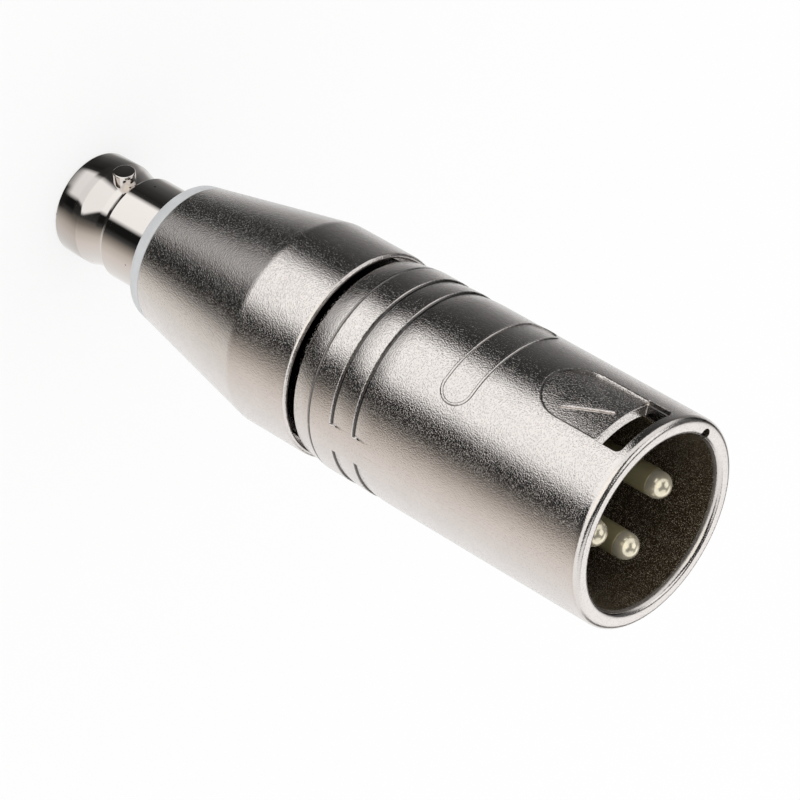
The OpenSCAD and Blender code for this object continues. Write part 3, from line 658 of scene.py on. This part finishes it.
def wrapped(outline, levels, step=0.4, reach=None):
    """Solid on an outline of (along, height) points laid round the shell, in millimetres.

    levels are (inset, radius) pairs: each carries the face to that radius, drawn in by the inset.
    Where the levels aren't radii, reach turns a level, an angle from the latch and a height into one.
    """
    bm = bmesh.new()
    start = levels[0][1]
    face = bm.faces.new([bm.verts.new((along * MM, start * MM, height * MM)) for along, height in outline])
    grown = bmesh.ops.extrude_face_region(bm, geom=[face], use_keep_orig=True)
    face = [item for item in grown["geom"] if isinstance(item, bmesh.types.BMFace)][0]
    reached = start
    for inset, level in levels[1:]:
        if inset:
            bmesh.ops.inset_region(bm, faces=[face], thickness=inset * MM, use_even_offset=True)
        elif level != levels[1][1]:
            face = bmesh.ops.extrude_discrete_faces(bm, faces=[face])["faces"][0]
        bmesh.ops.translate(bm, verts=face.verts, vec=(0.0, (level - reached) * MM, 0.0))
        reached = level
    half = max(abs(along) for along, height in outline)
    for count in range(-int(half / step), int(half / step) + 1):
        bmesh.ops.bisect_plane(
            bm, geom=bm.verts[:] + bm.edges[:] + bm.faces[:], dist=1e-9,
            plane_co=(count * step * MM, 0.0, 0.0), plane_no=(1.0, 0.0, 0.0))
    for vert in bm.verts:
        along, level, height = vert.co
        angle = along / (RADIUS * MM)
        radius = reach(level / MM, angle, height / MM) * MM if reach else level
        vert.co = (radius * math.cos(LATCH + angle), radius * math.sin(LATCH + angle), height)
    bmesh.ops.triangulate(bm, faces=bm.faces[:])
    bmesh.ops.recalc_face_normals(bm, faces=bm.faces[:])
    return bm


def arc(centre, radius, first, last, count):
    """Points along an arc in the plane of an outline, from one angle in degrees to another"""
    angles = [math.radians(first + (last - first) * i / count) for i in range(count + 1)]
    return [(centre[0] + radius * math.cos(a), centre[1] + radius * math.sin(a)) for a in angles]


def plain(points):
    """Points of an outline whose corners aren't rounded"""
    return [(radius, height, 0) for radius, height in points]


def piece_from(bm, name):
    """Object in the scene from a bmesh, which is used up"""
    mesh = bpy.data.meshes.new(name)
    bm.to_mesh(mesh)
    bm.free()
    piece = bpy.data.objects.new(name, mesh)
    bpy.context.collection.objects.link(piece)
    return piece


def bake(piece, modifier):
    """Applies a modifier to a piece"""
    bpy.context.view_layer.update()
    done = bpy.data.meshes.new_from_object(piece.evaluated_get(bpy.context.evaluated_depsgraph_get()))
    piece.modifiers.remove(modifier)
    old = piece.data
    piece.data = done
    bpy.data.meshes.remove(old)
    done.name = piece.name


def carve(piece, bm, operation):
    """Cuts a solid out of a piece, or joins it on"""
    tool = piece_from(bm, "tool")
    joiner = piece.modifiers.new("carve", "BOOLEAN")
    joiner.operation = operation
    joiner.solver = "MANIFOLD"
    joiner.object = tool
    bake(piece, joiner)
    bpy.data.meshes.remove(tool.data)


def shade_round(mesh, rounds, slack=0.004, nudge=0.01):
    """Gives the faces that lie on a round surface that surface's own normals.

    rounds turn an angle from the latch and a height in millimetres into the surface's radius there.
    """
    normals = [corner.vector.copy() for corner in mesh.corner_normals]
    for surface in rounds:
        own = {}
        for vert in mesh.vertices:
            place = vert.co / MM
            turn = math.remainder(math.atan2(place.y, place.x) - LATCH, 2 * math.pi)
            radius = surface(turn, place.z)
            if radius is None or abs(math.hypot(place.x, place.y) - radius) > slack:
                continue
            lean = (surface(turn + nudge, place.z) - surface(turn - nudge, place.z)) / (2 * nudge) / radius
            rise = (surface(turn, place.z + nudge) - surface(turn, place.z - nudge)) / (2 * nudge)
            out = Vector((math.cos(LATCH + turn), math.sin(LATCH + turn), 0.0))
            side = Vector((-out.y, out.x, 0.0))
            own[vert.index] = (out - side * lean - Vector((0.0, 0.0, rise))).normalized()
        for face in mesh.polygons:
            if all(i in own for i in face.vertices):
                for corner, i in zip(face.loop_indices, face.vertices):
                    normals[corner] = own[i]
    mesh.normals_split_custom_set(normals)


def settle(piece, node, finish, rounds=()):
    """Smooths a piece, gives it its finish and puts it in the place of a node.

    rounds are surfaces as in shade_round: a face that lies on one shades as that surface.
    """
    piece.data.polygons.foreach_set("use_smooth", [True] * len(piece.data.polygons))
    piece.data.set_sharp_from_angle(angle=SHARP_ANGLE)
    weigh = piece.modifiers.new("even shading", "WEIGHTED_NORMAL")
    weigh.keep_sharp = True
    weigh.weight = 80
    if rounds:
        bake(piece, weigh)
        shade_round(piece.data, rounds)
    piece.data.materials.clear()
    piece.data.materials.append(finish)
    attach(piece, BODY)
    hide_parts(node)


class ADAPTER_OT_shell(bpy.types.Operator):
    """Makes the pin end's shell with its grip, latch window, tongue, arrow and label frame"""

    bl_idname = "adapter.shell"
    bl_label = "Shell"

    straight_top = RIM - 1.0
    recess_step = 0.15

    def execute(self, context):
        shell = context.scene.adapter_shell
        bm = turned(self.outline(shell), SHELL_STEPS)
        self.stop_grip(bm, shell)
        piece = piece_from(bm, "shell")
        for tool in (self.recess, self.groove, self.window, self.pocket, self.notch):
            carve(piece, tool(shell), "DIFFERENCE")
        for tool in (self.arrow, self.label_frame):
            carve(piece, tool(shell), "UNION")
        half = shell.window_width / RADIUS / MM / 2 + 0.02

        def outside(angle, height):
            return RADIUS

        def floor(angle, height):
            return self.floor_radius(shell, angle, height) if abs(angle) < half else None
        settle(piece, "xlr_shell", satin_nickel(), rounds=(outside, floor))
        return {"FINISHED"}

    def outline(self, shell):
        """Section of the shell, from the bottom of its tail round to the mouth"""
        bore, tail, foot = 7.4, 8.45, SHELL_LOW.z / MM
        shoulder, taper_drop, taper_round = RIM - 31.7, 0.3, 0.12
        crease_depth, crease_half, step_half, soft = 0.12, 0.1, 0.07, 0.02
        insert_boss, insert_flange = 0.4, 2.2
        seat = INSERT_HIGH.z / MM - insert_boss - insert_flange
        snap, snap_bore, snap_height = INSERT_LOW.z / MM, 7.85, 0.8
        points = [
            (bore, foot, 0), (tail, foot, 0.1), (tail, shoulder, 0),
            (RADIUS - taper_drop, shoulder, taper_round), (RADIUS - 0.03, CREASE - crease_half, soft),
            (RADIUS - crease_depth, CREASE, soft), (RADIUS, CREASE + crease_half, soft)]
        depth, ramp = shell.grip_depth / MM, shell.grip_ramp / MM
        along_ramp = (0.2, 0.4, 0.6, 0.8, 1.0)
        for step in GRIP_STEPS:
            points += [(RADIUS, step - step_half, soft), (RADIUS - depth, step + step_half, soft)]
            points += plain((RADIUS - depth * (1 - u) ** 2, step + ramp * u) for u in along_ramp)
        rows = 20
        first, last = GRIP_STEPS[1] + ramp, self.straight_top
        points += plain((RADIUS, first + (last - first) * i / rows) for i in range(1, rows + 1))
        points += plain(self.rim(shell))
        points += plain((MOUTH, RIM - down) for down in (4, 8, 12))
        points += plain((
            (MOUTH, seat), (bore, seat), (bore, snap), (snap_bore, snap), (snap_bore, snap - snap_height),
            (bore, snap - snap_height)))
        return points

    def rim(self, shell):
        """Section of the rim: outer round, flat and inner round"""
        edge, lip = shell.rim_round / MM, shell.mouth_round / MM
        outer = arc((RADIUS - edge, RIM - edge), edge, 0, 90, 12)
        return outer + arc((MOUTH + lip, RIM - lip), lip, 90, 180, 10)

    def stop_grip(self, bm, shell):
        """Fills the grip beside the two parting lines, and raises the fine line of the parting"""
        stop, seam_width = math.radians(8.5), math.radians(0.1)
        low, high = (GRIP_STEPS[0] - 0.2) * MM, (GRIP_STEPS[1] + shell.grip_ramp / MM) * MM
        inner = 9.0 * MM
        for vert in bm.verts:
            radius = math.hypot(vert.co.x, vert.co.y)
            off_parting = abs(math.asin(vert.co.y / radius))
            if radius < inner or off_parting > stop:
                continue
            if low < vert.co.z < high:
                vert.co.xy *= RADIUS * MM / radius
            if off_parting < seam_width and vert.co.z < self.straight_top * MM:
                vert.co.xy *= 1.0 + shell.seam / radius

    def floor_radius(self, shell, angle, height):
        """Radius of the recess's floor: flatter than the shell in front, round as the shell at its end"""
        bend, front, end = shell.recess_bend / MM, shell.recess_depth / MM, shell.recess_end / MM
        middle = bend - (RADIUS - front)
        flat = math.sqrt(bend ** 2 - (middle * math.sin(angle)) ** 2) - middle * math.cos(angle)
        share = min(max((height - RECESS_BACK) / (WINDOW_BACK - RECESS_BACK), 0.0), 1.0)
        return flat * share + (RADIUS - end) * (1.0 - share)

    def in_recess(self, shell, outline, levels):
        """Wrapped solid whose levels are (inset, depth), from 0 at the shell's surface to 1 at the floor"""
        def reach(depth, angle, height):
            return RADIUS - depth * (RADIUS - self.floor_radius(shell, angle, height))
        return wrapped(outline, levels, self.recess_step, reach)

    def recess(self, shell):
        """Shallow recess with a round back end, its edges rounded"""
        margin = 0.05
        half, front = shell.window_width / MM / 2 + margin, WINDOW_BACK + 0.4
        outline = [(half, front), (-half, front)]
        outline += arc((0.0, RECESS_BACK + half - margin), half, 180, 360, 40)
        edge = shell.recess_round / MM
        swing = [math.radians(degrees) for degrees in (0, 20, 40, 60, 80)]
        levels = [(0, -0.4), (0, 0.0)]
        for a, b in zip(swing, swing[1:]):
            levels.append((edge * (math.sin(b) - math.sin(a)), edge * (1 - math.cos(b))))
        levels.append((0.025, 1.0))

        def reach(depth, angle, height):
            return max(RADIUS - depth, self.floor_radius(shell, angle, height))
        return wrapped(outline, levels, self.recess_step, reach)

    def arrow_outline(self):
        """Triangle with its point towards the rim"""
        tip, base, half = WINDOW_BACK - 0.7, WINDOW_BACK - 4.7, 2.2
        return [(-half, base), (half, base), (0.0, tip)]

    def groove(self, shell):
        """Fine groove along one side of the arrow"""
        width = 0.16
        (half, base), (middle, tip) = self.arrow_outline()[1:]
        side = math.hypot(half, tip - base)
        across, up = width * (tip - base) / side, width * half / side
        outline = [(half, base), (half + across, base + up), (middle + across, tip + up), (middle, tip)]
        return self.in_recess(shell, outline, [(0, 0.5), (0, 1.0), (0.02, 1.3), (0.02, 1.35)])

    def arrow(self, shell):
        """Raised arrow on the tongue"""
        levels = [(0, 2.0), (0, 0.95), (0.03, 0.72), (0.03, 0.6), (0.05, 0.56)]
        return self.in_recess(shell, self.arrow_outline(), levels)

    def window(self, shell):
        """Latch window through the wall, with the tongue's front edge broken"""
        margin, corner, inside = 0.1, 0.55, 7.2
        half = shell.window_width / MM / 2 + margin
        front, back = WINDOW_FRONT + margin, WINDOW_BACK - margin
        outline = [(-half, back), (half, back)]
        outline += arc((half - corner, front - corner), corner, 0, 90, 8)
        outline += arc((corner - half, front - corner), corner, 90, 180, 8)
        edge = RADIUS - shell.recess_depth / MM
        levels = [(0, RADIUS + 0.4), (0, RADIUS), (0.04, RADIUS - 0.03)]
        levels += [(0, edge), (0.06, edge - 0.08), (0, inside)]
        return wrapped(outline, levels)

    def pocket(self, shell):
        """Thins the tongue from inside"""
        inside, wall = 7.0, 1.25
        half = shell.window_width / MM / 2 - 0.05
        low, high = WINDOW_BACK - 2.5, WINDOW_BACK + 1.2
        outline = [(-half, low), (half, low), (half, high), (-half, high)]
        return wrapped(outline, [(0, inside), (0, RADIUS - wall)])

    def notch(self, shell):
        """Index notch in the rim"""
        radius, circle, depth = 0.55, 8.25, 3.0
        bm = bmesh.new()
        angle = LATCH - math.radians(46)
        place = Vector((circle * math.cos(angle), circle * math.sin(angle), RIM - 1.0)) * MM
        bmesh.ops.create_cone(
            bm, cap_ends=True, segments=32, radius1=radius * MM, radius2=radius * MM, depth=depth * MM,
            matrix=Matrix.Translation(place))
        return bm

    def label_frame(self, shell):
        """Raised line with round ends, bare inside"""
        middle, radius, reach = RIM - 16.75, 1.61, 5.2
        outline = arc((reach, middle), radius, -90, 90, 24) + arc((-reach, middle), radius, 90, 270, 24)
        section = (
            (0, -0.4), (0, -0.005), (0.05, 0.05), (0.04, 0.09), (0.04, 0.1), (0.08, 0.1), (0.04, 0.09),
            (0.04, 0.05), (0.05, -0.2))
        return wrapped(outline, [(inset, RADIUS + rise) for inset, rise in section])


class ADAPTER_OT_cover(bpy.types.Operator):
    """Makes the conical rear cover and the plastic washer under it"""

    bl_idname = "adapter.cover"
    bl_label = "Cover and washer"

    def execute(self, context):
        foot, tail = COVER_LOW.z / MM, SHELL_LOW.z / MM
        hole, end, cone = 5.0, 6.7, 13.85
        lip, ledge, thread = RADIUS - 0.42, COVER_TOP - 1.6, 8.55
        inner_top, inner_end, floor = 7.05, 6.3, foot + 2.2
        cover = [
            (hole, foot, 0), (end, foot, 0.1), (RADIUS, foot + cone, 0.25), (RADIUS, COVER_TOP, 0.3),
            (lip, COVER_TOP, 0.1), (lip, ledge, 0), (thread, ledge, 0), (thread, tail, 0),
            (inner_top, tail, 0), (inner_end, floor, 0), (hole, floor, 0)]
        settle(piece_from(turned(cover, TURN_STEPS), "cover"), "rear_cover", satin_nickel())
        low, high = (corner.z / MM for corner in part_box("insulating_washer"))
        slope = (RADIUS - end) / cone
        bore = 4.05
        foot_end = end - (high - low) * slope
        washer = [(bore, low, 0.05), (foot_end, low, 0.2), (end, high, 0.15), (bore, high, 0.05)]
        settle(piece_from(turned(washer, TURN_STEPS), "washer"), "insulating_washer", pale_moulding())
        return {"FINISHED"}


class ADAPTER_OT_jack(bpy.types.Operator):
    """Makes the bayonet jack with its two lugs"""

    bl_idname = "adapter.jack"
    bl_label = "Jack"

    radius = 4.83

    def execute(self, context):
        piece = piece_from(turned(self.outline(), TURN_STEPS), "jack")
        for side in (0.0, math.pi):
            carve(piece, self.lug(side), "UNION")
        settle(piece, "bnc_body", polished_nickel())
        return {"FINISHED"}

    def outline(self):
        """Section of the jack: ring, hollow relief with a fillet, neck, stem and bore"""
        bore, bore_end = 4.06, 8.4
        neck, washer = 6.0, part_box("insulating_washer")[0].z / MM
        stem, stem_top, stem_bore, cup_bore = 4.0, JACK_HIGH.z / MM, 2.4, 2.95
        cup = stem_top - 2.0
        rows, steep, ease, waist, fillet = 12, 0.9, 0.47, 0.7, 0.75
        body = [(bore, 0.0, 0.18), (self.radius, 0.0, 0.22), (self.radius, JACK_RING, 0)]
        relief_top = neck - waist
        for i in range(1, rows + 1):
            u = i / rows
            body.append((self.radius - steep * u + ease * u * u, JACK_RING + (relief_top - JACK_RING) * u, 0))
        centre = (self.radius - steep + ease + fillet, relief_top)
        body += plain(arc(centre, fillet, 180, 118, 8)[1:])
        body += [
            (self.radius, neck, 0.05), (self.radius, washer, 0.03), (stem, washer, 0), (stem, stem_top, 0.1),
            (cup_bore, stem_top, 0), (cup_bore, cup, 0), (stem_bore, cup, 0), (stem_bore, bore_end, 0),
            (bore, bore_end, 0)]
        return body

    def lug(self, side):
        """Round bayonet lug that stands out of the relief"""
        root, top, radius, height = 4.3, 5.5, 1.0, 4.33
        lug = turned([(0.0, root, 0), (radius, root, 0), (radius, top, 0.14), (0.0, top, 0)], 64)
        turn = Matrix.Rotation(side, 4, "Z") @ Matrix.Translation((0.0, 0.0, height * MM))
        bmesh.ops.transform(lug, matrix=turn @ Matrix.Rotation(math.pi / 2, 4, "X"), verts=lug.verts)
        return lug


class ADAPTER_OT_pins(bpy.types.Operator):
    """Makes the three turned contact pins"""

    bl_idname = "adapter.pins"
    bl_label = "Pins"

    def execute(self, context):
        for node in ("pin_1", "pin_2", "pin_3"):
            low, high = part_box(node)
            middle = (low + high) / 2
            bm = turned(self.outline(low.z / MM, high.z / MM), 96)
            bmesh.ops.translate(bm, verts=bm.verts, vec=(middle.x, middle.y, 0.0))
            settle(piece_from(bm, node + "_turned"), node, silver_plate())
        return {"FINISHED"}

    def outline(self, tail, tip):
        """Section of a pin: tail, collar, shank with a fine groove, and domed tip"""
        radius, tail_radius, collar = 1.2, 0.6, 1.6
        back = INSERT_LOW.z / MM
        front = back + 1.5
        groove_half, groove_depth, soft = 0.06, 0.03, 0.02
        section = [(0.0, tail, 0), (tail_radius, tail, 0.1)]
        section += plain(((tail_radius, back), (collar, back), (collar, front), (radius, front)))
        section += [
            (radius, PIN_GROOVE - groove_half, soft), (radius - groove_depth, PIN_GROOVE, soft),
            (radius, PIN_GROOVE + groove_half, soft)]
        dome = arc((0.0, tip - radius), radius, 0, 90, 16)
        return section + plain(dome[:-1]) + [(0.0, tip, 0)]


class ADAPTER_OT_inner_finish(bpy.types.Operator):
    """Gives every carried-over part its finish"""

    bl_idname = "adapter.inner_finish"
    bl_label = "Finishes"

    def execute(self, context):
        made = {slot: plain_finish(slot + "_finish", *values) for slot, values in INNER_FINISHES.items()}
        made["polished_nickel"] = polished_nickel()
        made["pale_plastic"] = pale_moulding()
        made["satin_nickel"] = satin_nickel()
        made["silver_plate"] = silver_plate()
        for node, slot in SLOTS.items():
            for place in frame["nodes"][node].material_slots:
                place.material = made[slot]
        return {"FINISHED"}


class ADAPTER_PT_panel(bpy.types.Panel):
    """Lists the adapter's steps"""

    bl_label = "Adapter"
    bl_idname = "ADAPTER_PT_panel"
    bl_space_type = "VIEW_3D"
    bl_region_type = "UI"
    bl_category = "Adapter"

    def draw(self, context):
        for step in STEPS:
            self.layout.operator(step.bl_idname)


STEPS = (
    ADAPTER_OT_stage, ADAPTER_OT_inner_finish, ADAPTER_OT_shell, ADAPTER_OT_cover, ADAPTER_OT_jack,
    ADAPTER_OT_pins)
CLASSES = (ShellSettings, StageSettings, FinishSettings, *STEPS, ADAPTER_PT_panel)


def register():
    for kind in CLASSES:
        bpy.utils.register_class(kind)
    bpy.types.Scene.adapter_shell = PointerProperty(type=ShellSettings)
    bpy.types.Scene.adapter_stage = PointerProperty(type=StageSettings)
    bpy.types.Scene.adapter_finish = PointerProperty(type=FinishSettings)


def unregister():
    del bpy.types.Scene.adapter_finish
    del bpy.types.Scene.adapter_stage
    del bpy.types.Scene.adapter_shell
    for kind in reversed(CLASSES):
        bpy.utils.unregister_class(kind)


def main():
    register()
    bpy.ops.adapter.stage()
    bpy.ops.adapter.inner_finish()
    bpy.ops.adapter.shell()
    bpy.ops.adapter.cover()
    bpy.ops.adapter.jack()
    bpy.ops.adapter.pins()


if __name__ == "__main__":
    main()
